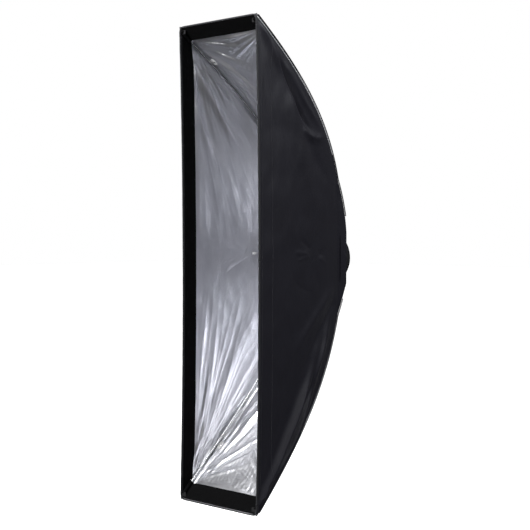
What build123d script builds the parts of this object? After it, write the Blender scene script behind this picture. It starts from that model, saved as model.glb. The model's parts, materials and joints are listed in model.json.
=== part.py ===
from build123d import *
import os
from math import cos, radians, sin, sqrt

os.makedirs("parts", exist_ok=True)

# Strip softbox, opened out. Millimetres, +Z up, the light opening faces -Y.
# The origin is the centre of the lamp mount's bore, on the plate face that meets the lamp.

# Front rim
FRONT_Y = -535.0
FRONT_MID_Z = -15.0
HALF_WIDTH = 150.0
HALF_HEIGHT = 700.0
EDGE_BOW = 13.0
EDGE_CORNER_R = 18.0
HEM_DEPTH = 8.0
HEM_T = 5.0
END_HEM_T = 7.0
TAPE_DEPTH = 55.0

# Side walls in plan: an ellipse that starts square to the rim, then a straight run to the ring
PLAN_DEPTH = 580.0
THROAT_HALF_WIDTH = 92.0
THROAT_Y = -77.0
THROAT_HALF_HEIGHT = 95.0
BACK_Y = -30.5

# Corner seams seen from the side: start point by the ring, then the angle above the forward
# direction and the handle length at the ring end and at the rim end
SEAM_Y = -30.0
SEAM_Z = 80.0
UPPER_BOW = (84.4, 300.0, 34.9, 200.0)
LOWER_BOW = (66.1, 300.0, 42.5, 340.0)

# Cloth thicknesses, and the gap left between plies
CLOTH = 1.0
LINING = 0.6
TAPE = 1.2
PLY_GAP = 0.4
LINING_INSET = CLOTH + PLY_GAP
TAPE_INSET = LINING_INSET + LINING + PLY_GAP
PIPING_R = 1.5

# Spring rods, their sockets and pins
ROD_R = 3.0
ROD_INSET = 9.0
ROD_TILT = 0.105
ROD_REACH = 340.0
TIP_BACK = 28.0
POCKET_BACK = 16.0
PIN_X = 57.5
PIN_Y = -38.0
PIN_Z = 42.0
PIN_R = 2.5
RUNNING_GAP = 0.05
SOCKET_R = 5.0
SOCKET_LENGTH = 46.0
HUB_R = 6.5
HUB_WIDTH = 11.6
EAR_GAP = 12.0
EAR_T = 2.0
RIVET_R = 1.25
RIVET_X = 3.8

# Speed ring
RING_R = 86.0
RING_FRONT_Y = -26.0
RING_REAR_Y = -1.0
SEAT_R = 76.05
NECK_R = 72.05
SEAT_REAR_Y = -6.0
PLATE_R = 82.0
PLATE_BORE_R = 58.0
PLATE_FRONT_Y = -15.2
PLATE_REAR_Y = -11.2
SCREW_CIRCLE_R = 79.2
SCREW_R = 1.5

# Lamp mount insert
FLANGE_FRONT_Y = -11.0
LAMP_BORE_R = 44.0
SPIGOT_R = 47.0
SPIGOT_LENGTH = 9.0
LUG_R = 49.0
LUG_T = 3.0
LUG_ANGLE = 34.0
INSERT_RIVET_CIRCLE_R = 53.0

# Ring lock
LOCK_Y = -8.5
LOCK_SCREW_R = 2.5
BOSS_X = -94.0
PAD_X = -80.0
KNOB_X = -108.0
KNOB_R = 14.0

KNOB_GRIP = 12.0
KNOB_NECK = 9.0
KNOB_NECK_R = 6.0
KNOB_SEAT = 4.0

# Release buttons
BUTTON_R = 3.0
BUTTON_Y = -25.0
BUTTON_STEM = 9.0
BUTTON_CAP = 11.0
BUTTON_CAP_T = 4.0

# Fastener heads
HEAD_R = 2.6
HEAD_T = 2.0
HEX_R = 1.3
HEX_DEPTH = 1.2
SCREW_LENGTH = 9.0
RIVET_HEAD_R = 1.9
RIVET_HEAD_T = 1.0
PIN_HEAD_R = 3.7

# Collar and strap
COLLAR_INNER_R = RING_R + 0.6
COLLAR_T = 2.4
COLLAR_BACK_T = 1.5
SLEEVE_REAR_Y = -15.0
STRAP_INNER_R = RING_R + 3.2
STRAP_T = 1.8
STRAP_REAR_Y = -16.0
STRAP_WIDTH = 12.0

# Small sewn parts
TAB_WIDTH = 16.0
TAB_LENGTH = 24.0
TAB_T = 1.5
STUD_R = 5.0
STUD_T = 2.0
POCKET_WIDTH = 14.0
POCKET_HEIGHT = 13.0
POCKET_T = 2.0
HOOK_BACK = 310.0
HOOK_LENGTH = 12.0

SIDES = {"l": -1, "r": 1}
LEVELS = {"u": 1, "l": -1}


def write(piece, name):
    piece.part.label = name
    export_step(piece.part, f"parts/{name}.step")


def bow(level):
    rear_angle, rear_handle, front_angle, front_handle = UPPER_BOW if level > 0 else LOWER_BOW
    return radians(rear_angle), rear_handle, radians(front_angle), front_handle


def rim_point(level, inset, back):
    """Point (y, z) inset from a corner seam, and back along it from the rim."""
    angle = bow(level)[2]
    y = FRONT_Y + back * cos(angle) - inset * sin(angle)
    z = HALF_HEIGHT + level * FRONT_MID_Z - back * sin(angle) - inset * cos(angle)
    return y, level * z


def seam(level, inset):
    """Four control points (y, z) of a corner seam's curve, moved inwards by inset."""
    rear_angle, rear_handle, front_angle, front_handle = bow(level)
    rear_y = SEAM_Y - inset * sin(rear_angle)
    rear_z = SEAM_Z - inset * cos(rear_angle)
    pull_y = rear_y - rear_handle * cos(rear_angle)
    pull_z = rear_z + rear_handle * sin(rear_angle)
    return [
        (rear_y, level * rear_z),
        (pull_y, level * pull_z),
        rim_point(level, inset, front_handle),
        rim_point(level, inset, 0.0),
    ]


def along(points, t):
    """Point and forward direction at parameter t of a curve with four control points."""
    a, b, c, d = [Vector(*p) for p in points]
    s = 1 - t
    place = a * s**3 + b * (3 * s * s * t) + c * (3 * s * t * t) + d * t**3
    ahead = (b - a) * (s * s) + (c - b) * (2 * s * t) + (d - c) * (t * t)
    return place, ahead.normalized()


def half_width(y):
    """Half the width between the side walls' outer faces."""
    if y > THROAT_Y:
        return THROAT_HALF_WIDTH
    return HALF_WIDTH * sqrt(1 - ((y - FRONT_Y) / PLAN_DEPTH) ** 2)


def rod_points(side, level):
    """Control points of a rod's bowed length, from its socket's mouth to its tip."""
    angle = bow(level)[0]
    pull = bow(level)[3]
    tip = rim_point(level, ROD_INSET, TIP_BACK)
    tip_pull = rim_point(level, ROD_INSET, pull)
    tip_x = HALF_WIDTH - ROD_INSET
    start = Vector(side * PIN_X, PIN_Y, level * PIN_Z)
    ahead = Vector(side * ROD_TILT, -cos(angle), level * sin(angle)).normalized()
    return [
        start + ahead * SOCKET_LENGTH,
        start + ahead * ROD_REACH,
        Vector(side * (tip_x - 2.0), *tip_pull),
        Vector(side * tip_x, *tip),
    ]


def socket_plane(side, level):
    """Plane at a rod's pin whose normal runs out along its socket."""
    mouth, ahead = rod_points(side, level)[:2]
    direction = (ahead - mouth).normalized()
    return Plane(mouth - direction * SOCKET_LENGTH, x_dir=(1, 0, 0), z_dir=direction)


def rim_zone(depth):
    """Everything ahead of the shallow arc that the rim follows, depth behind it."""
    top = HALF_HEIGHT + 20.0
    with BuildPart() as zone:
        with BuildSketch(Plane.YZ.offset(-HALF_WIDTH - 10)):
            with BuildLine():
                ThreePointArc(
                    (FRONT_Y + depth, FRONT_MID_Z - top),
                    (FRONT_Y + depth + EDGE_BOW, FRONT_MID_Z),
                    (FRONT_Y + depth, FRONT_MID_Z + top),
                )
                Polyline(
                    (FRONT_Y + depth, FRONT_MID_Z + top),
                    (FRONT_Y - 40, FRONT_MID_Z + top),
                    (FRONT_Y - 40, FRONT_MID_Z - top),
                    (FRONT_Y + depth, FRONT_MID_Z - top),
                )
            make_face()
        extrude(amount=2 * HALF_WIDTH + 20)
    return zone.part


def side_wall(name, side, inset, thickness, depth=None):
    """One ply of a side wall, or only the band of it that lies within depth of the rim."""
    outer_throat = THROAT_HALF_WIDTH - inset
    inner_throat = outer_throat - thickness
    end_inset = CLOTH + PLY_GAP if depth is None else TAPE_INSET
    upper = seam(1, end_inset)
    lower = seam(-1, end_inset)
    hem_zone = rim_zone(HEM_DEPTH)
    with BuildPart() as wall:
        with BuildSketch(Plane.XY.offset(-HALF_HEIGHT - 50)):
            with Locations((0, FRONT_Y)):
                Ellipse(HALF_WIDTH - inset, PLAN_DEPTH - inset)
            with Locations((0, THROAT_Y + 50)):
                Rectangle(2 * outer_throat, 100)
            with Locations((0, FRONT_Y)):
                Ellipse(
                    HALF_WIDTH - inset - thickness,
                    PLAN_DEPTH - inset - thickness,
                    mode=Mode.SUBTRACT,
                )
            with Locations((0, THROAT_Y + 50)):
                Rectangle(2 * inner_throat, 200, mode=Mode.SUBTRACT)
        extrude(amount=2 * HALF_HEIGHT + 100)
        with BuildSketch(Plane.YZ):
            with BuildLine():
                Bezier(*upper)
                Bezier(*lower)
                Line(upper[0], lower[0])
                Line(upper[3], lower[3])
            make_face()
        extrude(amount=side * (HALF_WIDTH + 5), mode=Mode.INTERSECT)
        add(hem_zone, mode=Mode.SUBTRACT)
        if depth is not None:
            add(rim_zone(depth), mode=Mode.INTERSECT)
    write(wall, name)


def end_panel(name, level, inset, thickness, side_gap, depth=None):
    """One ply of the top or bottom panel, bent along the seam, or its band by the rim."""
    outer = seam(level, inset)
    inner = seam(level, inset + thickness)
    hem_zone = rim_zone(HEM_DEPTH)
    with BuildPart() as panel:
        with BuildSketch(Plane.YZ.offset(-HALF_WIDTH)):
            with BuildLine():
                Bezier(*outer)
                Bezier(*inner)
                Line(outer[0], inner[0])
                Line(outer[3], inner[3])
            make_face()
        extrude(amount=2 * HALF_WIDTH)
        with BuildSketch(Plane.XY.offset(-HALF_HEIGHT - 50)):
            with Locations((0, FRONT_Y)):
                Ellipse(HALF_WIDTH - side_gap, PLAN_DEPTH - side_gap)
            with Locations((0, THROAT_Y + 50)):
                Rectangle(2 * (THROAT_HALF_WIDTH - side_gap), 100)
        extrude(amount=2 * HALF_HEIGHT + 100, mode=Mode.INTERSECT)
        with BuildSketch(Plane.XY):
            Rectangle(2 * HALF_WIDTH, 3 * PLAN_DEPTH)
        extrude(amount=level * THROAT_HALF_HEIGHT, mode=Mode.SUBTRACT)
        add(hem_zone, mode=Mode.SUBTRACT)
        if depth is not None:
            add(rim_zone(depth), mode=Mode.INTERSECT)
    write(panel, name)


def rim_loop(name, centre, width, height):
    """The part of the rim's rounded-corner binding that lies in a rectangle of the front view."""
    ahead_of_rim = rim_zone(0.0)
    hem_zone = rim_zone(HEM_DEPTH - 0.5)
    with BuildPart() as rim:
        with BuildSketch(Plane.XZ.offset(-FRONT_Y)):
            with Locations((0, FRONT_MID_Z)):
                RectangleRounded(2 * HALF_WIDTH + 3, 2 * HALF_HEIGHT, EDGE_CORNER_R)
                RectangleRounded(
                    2 * HALF_WIDTH + 3 - 2 * HEM_T,
                    2 * HALF_HEIGHT - 2 * END_HEM_T,
                    EDGE_CORNER_R - HEM_T,
                    mode=Mode.SUBTRACT,
                )
        extrude(amount=-(HEM_DEPTH + EDGE_BOW))
        with BuildSketch(Plane.XZ.offset(-FRONT_Y)):
            with Locations(centre):
                Rectangle(width, height)
        extrude(amount=-(HEM_DEPTH + EDGE_BOW), mode=Mode.INTERSECT)
        add(hem_zone, mode=Mode.INTERSECT)
        add(ahead_of_rim, mode=Mode.SUBTRACT)
    write(rim, name)


def hems():
    """Rim binding in four pieces: the rounded ends go with the top and bottom panels."""
    side_half = HALF_HEIGHT - EDGE_CORNER_R - 12.0
    end_height = 60.0
    for name, level in (("hem_top", 1), ("hem_bottom", -1)):
        centre = (0, FRONT_MID_Z + level * (side_half + 0.5 + end_height / 2))
        rim_loop(name, centre, 2 * HALF_WIDTH + 20, end_height)
    for name, side in (("hem_left", -1), ("hem_right", 1)):
        rim_loop(name, (side * HALF_WIDTH, FRONT_MID_Z), 60, 2 * side_half)


def spring_rod(name, side, level):
    """Steel rod: straight in its socket, then bowed out to just short of the rim."""
    seat = socket_plane(side, level).offset(HUB_R + 2.0)
    points = rod_points(side, level)
    with BuildPart() as rod:
        with BuildLine() as centreline:
            Line(seat.origin, points[0])
            Bezier(*points)
        with BuildSketch(seat):
            Circle(ROD_R)
        sweep(path=centreline.line)
    write(rod, name)


def rod_tip(name, side, level):
    """Plastic cap on the front end of a rod."""
    last, tip = rod_points(side, level)[2:]
    end = Plane(tip, z_dir=tip - last)
    with BuildPart() as cap:
        with BuildSketch(end.offset(-10)):
            Circle(ROD_R + 1.5)
        extrude(amount=13)
        with BuildSketch(end.offset(-10)):
            Circle(ROD_R + 0.1)
        extrude(amount=10, mode=Mode.SUBTRACT)
    write(cap, name)


def rod_holder(name, side, level):
    """Hub that turns on the pin, with the tube that takes the rod."""
    axis = socket_plane(side, level)
    hub = Plane.YZ.offset(side * PIN_X - HUB_WIDTH / 2)
    with BuildPart() as holder:
        with BuildSketch(hub):
            with Locations((PIN_Y, level * PIN_Z)):
                Circle(HUB_R)
        extrude(amount=HUB_WIDTH)
        with BuildSketch(axis):
            Circle(SOCKET_R)
        extrude(amount=SOCKET_LENGTH)
        with BuildSketch(axis.offset(HUB_R + 2.0)):
            Circle(ROD_R)
        extrude(amount=SOCKET_LENGTH, mode=Mode.SUBTRACT)
        with BuildSketch(hub):
            with Locations((PIN_Y, level * PIN_Z)):
                Circle(PIN_R + RUNNING_GAP)
        extrude(amount=HUB_WIDTH, mode=Mode.SUBTRACT)
    write(holder, name)


def piping(name, side, level):
    """Corded edge sewn along the outside of a corner seam."""
    outside = PIPING_R + 0.8
    curve = seam(level, -outside)
    path = []
    for step in range(1, 10):
        place = along(curve, 0.06 + 0.91 * (step - 1) / 8)[0]
        path.append((side * (half_width(place.X) + outside), place.X, place.Y))
    with BuildPart() as cord:
        with BuildLine() as centreline:
            Spline(*path)
        with BuildSketch(Plane(centreline.line @ 0, z_dir=centreline.line % 0)):
            Circle(PIPING_R)
        sweep(path=centreline.line)
    write(cord, name)


def corner_pockets(name, level):
    """Two stitched pockets ahead of the rod tips, in the rim's corners."""
    y, z = rim_point(level, ROD_INSET, POCKET_BACK)
    x = HALF_WIDTH - POCKET_HEIGHT
    with BuildPart() as pockets:
        with BuildSketch(Plane.XZ.offset(-y)):
            with Locations((x, z), (-x, z)):
                RectangleRounded(POCKET_WIDTH, POCKET_HEIGHT, 4)
        extrude(amount=POCKET_T)
    write(pockets, name)


def snap_tabs(name, level):
    """Two webbing tabs with press studs on the lining, close to the corner seams."""
    place, ahead = along(seam(level, LINING_INSET + LINING + PLY_GAP), 0.78)
    inwards = (0, -level * ahead.Y, level * ahead.X)
    with BuildPart() as tabs:
        for side in (-1, 1):
            centre = (side * (half_width(place.X) - TAB_LENGTH), place.X, place.Y)
            face = Plane(centre, x_dir=(1, 0, 0), z_dir=inwards)
            with BuildSketch(face):
                RectangleRounded(TAB_WIDTH, TAB_LENGTH, 3)
            extrude(amount=TAB_T)
            with BuildSketch(face.offset(TAB_T)):
                Circle(STUD_R)
            extrude(amount=STUD_T)
    write(tabs, name)


def side_hooks(name):
    """Small hooks at mid height on the side linings."""
    y = FRONT_Y + HOOK_BACK
    x = half_width(y) - TAPE_INSET - 5.0
    with BuildPart() as hooks:
        with BuildSketch(Plane.XZ.offset(-y)):
            with Locations((x, -FRONT_MID_Z), (-x, -FRONT_MID_Z)):
                RectangleRounded(5, 10, 2)
        extrude(amount=HOOK_LENGTH)
    write(hooks, name)


def ring_body(name):
    """Cast ring: rear lip, seat for the lamp insert, counterbore for the front plate."""
    with BuildPart() as ring:
        with BuildSketch(Plane.XZ.offset(-RING_REAR_Y)):
            Circle(RING_R)
        extrude(amount=RING_REAR_Y - RING_FRONT_Y)
        chamfer(ring.edges(), 1.2)
        with BuildSketch(Plane.YZ.offset(BOSS_X)):
            with Locations((LOCK_Y, 0)):
                RectangleRounded(13, 22, 2)
        extrude(amount=-BOSS_X - PLATE_R - 1.0)
        with BuildSketch(Plane.XZ):
            Circle(NECK_R)
        extrude(amount=-RING_FRONT_Y, mode=Mode.SUBTRACT)
        with BuildSketch(Plane.XZ.offset(-SEAT_REAR_Y)):
            Circle(SEAT_R)
        extrude(amount=SEAT_REAR_Y - RING_FRONT_Y, mode=Mode.SUBTRACT)
        with BuildSketch(Plane.XZ.offset(-PLATE_REAR_Y)):
            Circle(PLATE_R + RUNNING_GAP)
        extrude(amount=PLATE_REAR_Y - RING_FRONT_Y, mode=Mode.SUBTRACT)
        with BuildSketch(Plane.YZ.offset(BOSS_X)):
            with Locations((LOCK_Y, 0)):
                Circle(LOCK_SCREW_R + RUNNING_GAP)
        extrude(amount=-BOSS_X - NECK_R, mode=Mode.SUBTRACT)
        with BuildSketch(Plane.XZ.offset(-PLATE_REAR_Y)):
            with PolarLocations(SCREW_CIRCLE_R, 8, start_angle=22.5):
                Circle(SCREW_R)
        extrude(amount=-6, mode=Mode.SUBTRACT)
    write(ring, name)


def front_plate(name):
    """Plate that closes the seat and carries the four rod brackets."""
    with BuildPart() as plate:
        with BuildSketch(Plane.XZ.offset(-PLATE_REAR_Y)):
            Circle(PLATE_R)
            Circle(PLATE_BORE_R, mode=Mode.SUBTRACT)
            with PolarLocations(SCREW_CIRCLE_R, 8, start_angle=22.5):
                Circle(SCREW_R, mode=Mode.SUBTRACT)
            with GridLocations(2 * PIN_X, 2 * PIN_Z, 2, 2):
                with Locations((-RIVET_X, 0), (RIVET_X, 0)):
                    Circle(RIVET_R, mode=Mode.SUBTRACT)
        extrude(amount=PLATE_REAR_Y - PLATE_FRONT_Y)
    write(plate, name)


def plate_screws(name):
    """Eight socket screws that hold the front plate."""
    with BuildPart() as screws:
        with BuildSketch(Plane.XZ.offset(-PLATE_FRONT_Y)):
            with PolarLocations(SCREW_CIRCLE_R, 8, start_angle=22.5):
                Circle(HEAD_R)
        extrude(amount=HEAD_T)
        with BuildSketch(Plane.XZ.offset(-PLATE_FRONT_Y)):
            with PolarLocations(SCREW_CIRCLE_R, 8, start_angle=22.5):
                Circle(SCREW_R)
        extrude(amount=-SCREW_LENGTH)
        with BuildSketch(Plane.XZ.offset(HEAD_T - PLATE_FRONT_Y)):
            with PolarLocations(SCREW_CIRCLE_R, 8, start_angle=22.5):
                RegularPolygon(HEX_R, 6)
        extrude(amount=-HEX_DEPTH, mode=Mode.SUBTRACT)
    write(screws, name)


def rod_brackets(name):
    """Four U brackets: a base on the front plate and two ears for the pin."""
    ear_length = PLATE_FRONT_Y - PIN_Y
    with BuildPart() as brackets:
        with BuildSketch(Plane.XZ.offset(-PLATE_FRONT_Y)):
            with GridLocations(2 * PIN_X, 2 * PIN_Z, 2, 2):
                Rectangle(EAR_GAP + 2 * EAR_T, 2 * HUB_R)
                with Locations((-RIVET_X, 0), (RIVET_X, 0)):
                    Circle(RIVET_R, mode=Mode.SUBTRACT)
        extrude(amount=EAR_T)
        for side in (-1, 1):
            for outwards in (-1, 1):
                face = Plane.YZ.offset(side * (PIN_X + outwards * EAR_GAP / 2))
                with BuildSketch(face):
                    for level in (-1, 1):
                        with Locations((PIN_Y + ear_length / 2, level * PIN_Z)):
                            Rectangle(ear_length, 2 * HUB_R)
                        with Locations((PIN_Y, level * PIN_Z)):
                            Circle(HUB_R)
                            Circle(PIN_R, mode=Mode.SUBTRACT)
                        if outwards < 0:
                            with Locations((BUTTON_Y, level * PIN_Z)):
                                Circle(BUTTON_R + RUNNING_GAP, mode=Mode.SUBTRACT)
                extrude(amount=side * outwards * EAR_T)
    write(brackets, name)


def bracket_rivets(name):
    """Two rivets through each bracket's base."""
    with BuildPart() as rivets:
        with BuildSketch(Plane.XZ.offset(-PLATE_REAR_Y)):
            with GridLocations(2 * PIN_X, 2 * PIN_Z, 2, 2):
                with Locations((-RIVET_X, 0), (RIVET_X, 0)):
                    Circle(RIVET_R)
        extrude(amount=PLATE_REAR_Y - PLATE_FRONT_Y + EAR_T)
        with BuildSketch(Plane.XZ.offset(EAR_T - PLATE_FRONT_Y)):
            with GridLocations(2 * PIN_X, 2 * PIN_Z, 2, 2):
                with Locations((-RIVET_X, 0), (RIVET_X, 0)):
                    Circle(RIVET_HEAD_R)
        extrude(amount=RIVET_HEAD_T)
    write(rivets, name)


def hinge_pins(name):
    """One headed pin through each bracket's ears."""
    half = EAR_GAP / 2 + EAR_T
    with BuildPart() as pins:
        for side in (-1, 1):
            with BuildSketch(Plane.YZ.offset(side * PIN_X - half)):
                with Locations((PIN_Y, PIN_Z), (PIN_Y, -PIN_Z)):
                    Circle(PIN_R)
            extrude(amount=2 * half)
            for end in (-1, 1):
                with BuildSketch(Plane.YZ.offset(side * PIN_X + end * half)):
                    with Locations((PIN_Y, PIN_Z), (PIN_Y, -PIN_Z)):
                        Circle(PIN_HEAD_R)
                extrude(amount=end * RIVET_HEAD_T)
    write(pins, name)


def release_button(name, side, level):
    """Sprung push button: a stem through the bracket's inner ear, and its cap."""
    stem_end = PIN_X - EAR_GAP / 2 + 1.0
    with BuildPart() as button:
        with BuildSketch(Plane.YZ.offset(side * stem_end)):
            with Locations((BUTTON_Y, level * PIN_Z)):
                Circle(BUTTON_R)
        extrude(amount=-side * BUTTON_STEM)
        with BuildSketch(Plane.YZ.offset(side * (stem_end - BUTTON_STEM))):
            with Locations((BUTTON_Y, level * PIN_Z)):
                RectangleRounded(BUTTON_CAP, BUTTON_CAP, 3)
        extrude(amount=-side * BUTTON_CAP_T)
    write(button, name)


def lamp_insert(name):
    """Lamp mount plate: flange held in the ring, open bore, spigot for the lamp's bayonet."""
    with BuildPart() as insert:
        with BuildSketch(Plane.XZ.offset(-FLANGE_FRONT_Y)):
            Circle(SEAT_R - RUNNING_GAP)
        extrude(amount=FLANGE_FRONT_Y - SEAT_REAR_Y)
        with BuildSketch(Plane.XZ):
            Circle(NECK_R - RUNNING_GAP)
        extrude(amount=-SEAT_REAR_Y)
        with BuildSketch(Plane.XZ):
            Circle(SPIGOT_R)
        extrude(amount=-SPIGOT_LENGTH)
        with BuildSketch(Plane.XZ.offset(-SPIGOT_LENGTH)):
            Circle(LAMP_BORE_R)
        extrude(amount=SPIGOT_LENGTH - FLANGE_FRONT_Y, mode=Mode.SUBTRACT)
        with BuildSketch(Plane.XZ):
            with PolarLocations(INSERT_RIVET_CIRCLE_R, 6, start_angle=30):
                Circle(SCREW_R)
        extrude(amount=-FLANGE_FRONT_Y, mode=Mode.SUBTRACT)
    write(insert, name)


def lamp_lugs(name):
    """Three bayonet lugs round the spigot's end, each a sector of a ring."""
    with BuildPart() as lugs:
        for middle in (90, 210, 330):
            with BuildSketch(Plane.XZ.offset(LUG_T - SPIGOT_LENGTH)):
                with BuildLine():
                    start = middle - LUG_ANGLE / 2
                    outer = CenterArc((0, 0), LUG_R, start, LUG_ANGLE)
                    inner = CenterArc((0, 0), SPIGOT_R, start, LUG_ANGLE)
                    Line(outer @ 0, inner @ 0)
                    Line(outer @ 1, inner @ 1)
                make_face()
            extrude(amount=-LUG_T)
    write(lugs, name)


def insert_rivets(name):
    """Six rivets that join the insert's two pressings."""
    with BuildPart() as rivets:
        with BuildSketch(Plane.XZ):
            with PolarLocations(INSERT_RIVET_CIRCLE_R, 6, start_angle=30):
                Circle(SCREW_R)
        extrude(amount=-FLANGE_FRONT_Y)
        with BuildSketch(Plane.XZ.offset(-FLANGE_FRONT_Y)):
            with PolarLocations(INSERT_RIVET_CIRCLE_R, 6, start_angle=30):
                Circle(HEAD_R)
        extrude(amount=RIVET_HEAD_T)
    write(rivets, name)


def lock_knob(name):
    """Lobed knob that clamps the ring on the insert."""
    with BuildPart() as knob:
        with BuildSketch(Plane.YZ.offset(KNOB_X)):
            with Locations((LOCK_Y, 0)):
                Circle(KNOB_R)
                with PolarLocations(KNOB_R + 3.0, 6):
                    Circle(5.0, mode=Mode.SUBTRACT)
        extrude(amount=-KNOB_GRIP)
        with BuildSketch(Plane.YZ.offset(KNOB_X)):
            with Locations((LOCK_Y, 0)):
                Circle(KNOB_NECK_R)
        extrude(amount=KNOB_NECK)
        with BuildSketch(Plane.YZ.offset(KNOB_X + KNOB_NECK)):
            with Locations((LOCK_Y, 0)):
                Circle(LOCK_SCREW_R)
        extrude(amount=-KNOB_NECK - KNOB_SEAT, mode=Mode.SUBTRACT)
    write(knob, name)


def lock_screw(name):
    """Screw from the knob to the brake pad."""
    with BuildPart() as screw:
        with BuildSketch(Plane.YZ.offset(KNOB_X - KNOB_SEAT)):
            with Locations((LOCK_Y, 0)):
                Circle(LOCK_SCREW_R)
        extrude(amount=PAD_X - KNOB_X + KNOB_SEAT)
    write(screw, name)


def lock_pad(name):
    """Brake pad at the screw's end, hollowed to the insert's edge."""
    with BuildPart() as pad:
        with BuildSketch(Plane.YZ.offset(PAD_X)):
            with Locations((LOCK_Y, 0)):
                Circle(LOCK_SCREW_R - 0.1)
        extrude(amount=-PAD_X - NECK_R)
        with BuildSketch(Plane.XZ):
            Circle(SEAT_R + RUNNING_GAP)
        extrude(amount=-2 * LOCK_Y, mode=Mode.SUBTRACT)
    write(pad, name)


def collar(name):
    """Cloth behind the chamber: a flat back round the ring and a sleeve that grips it."""
    with BuildPart() as cloth:
        with BuildSketch(Plane.XZ.offset(-BACK_Y - COLLAR_BACK_T)):
            Rectangle(2 * (THROAT_HALF_WIDTH - 2.6), 2 * (THROAT_HALF_HEIGHT - 1.0))
            Circle(COLLAR_INNER_R, mode=Mode.SUBTRACT)
        extrude(amount=COLLAR_BACK_T)
        with BuildSketch(Plane.XZ.offset(-BACK_Y)):
            Circle(COLLAR_INNER_R + COLLAR_T)
            Circle(COLLAR_INNER_R, mode=Mode.SUBTRACT)
        extrude(amount=BACK_Y - SLEEVE_REAR_Y)
    write(cloth, name)


def collar_strap(name):
    """Hook-and-loop strap round the sleeve."""
    with BuildPart() as strap:
        with BuildSketch(Plane.XZ.offset(-STRAP_REAR_Y)):
            Circle(STRAP_INNER_R + STRAP_T)
            Circle(STRAP_INNER_R, mode=Mode.SUBTRACT)
        extrude(amount=STRAP_WIDTH)
    write(strap, name)


def ring_pieces():
    ring_body("ring_body")
    front_plate("front_plate")
    plate_screws("plate_screws")
    rod_brackets("rod_brackets")
    bracket_rivets("bracket_rivets")
    hinge_pins("hinge_pins")
    lamp_insert("lamp_insert")
    lamp_lugs("lamp_lugs")
    insert_rivets("insert_rivets")
    lock_knob("lock_knob")
    lock_screw("lock_screw")
    lock_pad("lock_pad")
    collar("collar")
    collar_strap("collar_strap")


def rod_pieces():
    for level_name, level in LEVELS.items():
        for side_name, side in SIDES.items():
            tag = level_name + side_name
            spring_rod(f"rod_{tag}", side, level)
            rod_tip(f"rod_tip_{tag}", side, level)
            rod_holder(f"rod_holder_{tag}", side, level)
            piping(f"piping_{tag}", side, level)
            release_button(f"release_button_{tag}", side, level)


def cloth_pieces():
    for name, side in (("left", -1), ("right", 1)):
        side_wall(f"side_panel_{name}", side, 0.0, CLOTH)
        side_wall(f"side_lining_{name}", side, LINING_INSET, LINING)
        side_wall(f"side_tape_{name}", side, TAPE_INSET, TAPE, HEM_DEPTH + TAPE_DEPTH)
    side_gap = TAPE_INSET + TAPE + 0.6
    for name, level in (("top", 1), ("bottom", -1)):
        end_panel(f"{name}_panel", level, 0.0, CLOTH, LINING_INSET)
        end_panel(f"{name}_lining", level, LINING_INSET, LINING, side_gap)
        end_panel(f"{name}_tape", level, TAPE_INSET, TAPE, side_gap, HEM_DEPTH + TAPE_DEPTH)
        corner_pockets(f"{name}_corner_pockets", level)
        snap_tabs(f"{name}_snap_tabs", level)
    hems()
    side_hooks("side_hooks")


ring_pieces()
rod_pieces()
cloth_pieces()
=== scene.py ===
import json
import math
import bpy
import numpy as np
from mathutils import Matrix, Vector


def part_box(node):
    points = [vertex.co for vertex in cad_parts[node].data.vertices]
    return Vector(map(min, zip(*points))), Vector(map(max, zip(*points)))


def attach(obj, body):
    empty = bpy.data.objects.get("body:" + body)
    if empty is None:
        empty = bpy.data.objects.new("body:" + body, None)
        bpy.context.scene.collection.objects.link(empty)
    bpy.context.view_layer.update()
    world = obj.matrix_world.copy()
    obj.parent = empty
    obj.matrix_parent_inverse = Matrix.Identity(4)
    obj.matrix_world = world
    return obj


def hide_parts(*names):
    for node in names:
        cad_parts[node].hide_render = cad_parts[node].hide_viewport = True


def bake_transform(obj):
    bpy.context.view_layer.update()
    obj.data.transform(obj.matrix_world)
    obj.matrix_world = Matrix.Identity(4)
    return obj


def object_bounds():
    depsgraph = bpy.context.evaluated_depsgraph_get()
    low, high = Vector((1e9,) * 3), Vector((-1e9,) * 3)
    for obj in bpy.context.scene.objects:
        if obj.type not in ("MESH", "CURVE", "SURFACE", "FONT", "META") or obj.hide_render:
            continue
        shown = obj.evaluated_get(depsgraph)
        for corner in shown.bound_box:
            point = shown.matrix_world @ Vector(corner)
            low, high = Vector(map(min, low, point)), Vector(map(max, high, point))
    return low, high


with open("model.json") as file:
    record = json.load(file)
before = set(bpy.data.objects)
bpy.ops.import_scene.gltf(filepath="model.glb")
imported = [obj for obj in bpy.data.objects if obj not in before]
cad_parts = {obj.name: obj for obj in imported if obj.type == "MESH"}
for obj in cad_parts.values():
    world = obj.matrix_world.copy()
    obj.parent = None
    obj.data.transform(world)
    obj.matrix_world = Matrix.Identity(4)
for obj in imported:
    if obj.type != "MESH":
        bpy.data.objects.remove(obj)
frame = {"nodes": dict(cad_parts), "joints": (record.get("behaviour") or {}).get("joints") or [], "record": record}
CAD_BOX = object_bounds()

# Strip softbox looks, in metres, +Z up, the light opening faces -Y.
# A side is -1 for left and 1 for right; a level is 1 for upper and -1 for lower.
MOUNTS = {mount["name"]: mount for mount in frame["record"]["mounts"]}
SLOT_OF = {part["node"]: part["material_slot"] for part in frame["record"]["subparts"]}
PIVOT = {joint["name"]: joint.get("pos_m") for joint in frame["joints"]}
SIDE_NAME = {-1: "left", 1: "right"}
LEVEL_NAME = {1: "upper", -1: "lower"}
END_NAME = {1: "top", -1: "bottom"}
TAG = {(-1, 1): "ul", (1, 1): "ur", (-1, -1): "ll", (1, -1): "lr"}

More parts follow.
